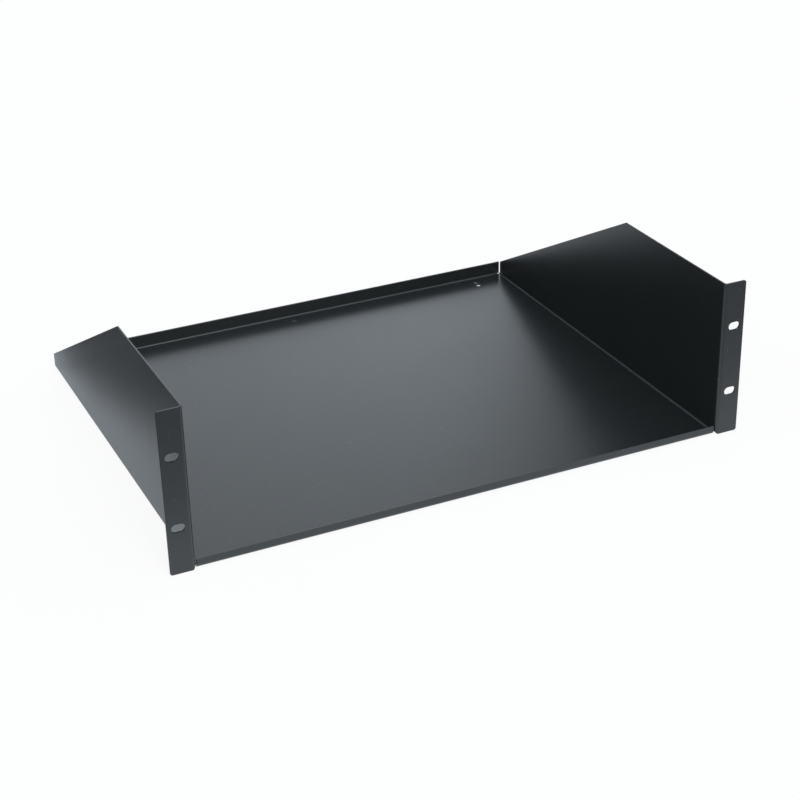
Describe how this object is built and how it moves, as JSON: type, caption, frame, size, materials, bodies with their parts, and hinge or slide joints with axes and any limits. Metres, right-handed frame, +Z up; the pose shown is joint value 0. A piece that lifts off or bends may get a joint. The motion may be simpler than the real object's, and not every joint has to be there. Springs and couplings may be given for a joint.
{
  "type": "rack shelf",
  "caption": "Folded sheet-steel shelf for a 19-inch rack, three units high, with sloping side walls, slotted ears and low turned-up lips, black powder coat.",
  "frame": {"origin": "centre of the four rack mounting slots, in the plane of the ears' rear faces, where they bear on the rack rails", "axes": "+X across the rack to the right seen from the front, +Y from the front to the rear, +Z up"},
  "size_m": [0.4826, 0.3728, 0.1322],
  "materials": {
    "black_powder_coat": "smooth satin black powder coat on sheet steel"
  },
  "bodies": {
    "root": {"base_tray": "black_powder_coat", "right_side_bracket": "black_powder_coat", "left_side_bracket": "black_powder_coat", "right_seam_weld": "black_powder_coat", "left_seam_weld": "black_powder_coat"}
  },
  "joints": []
}
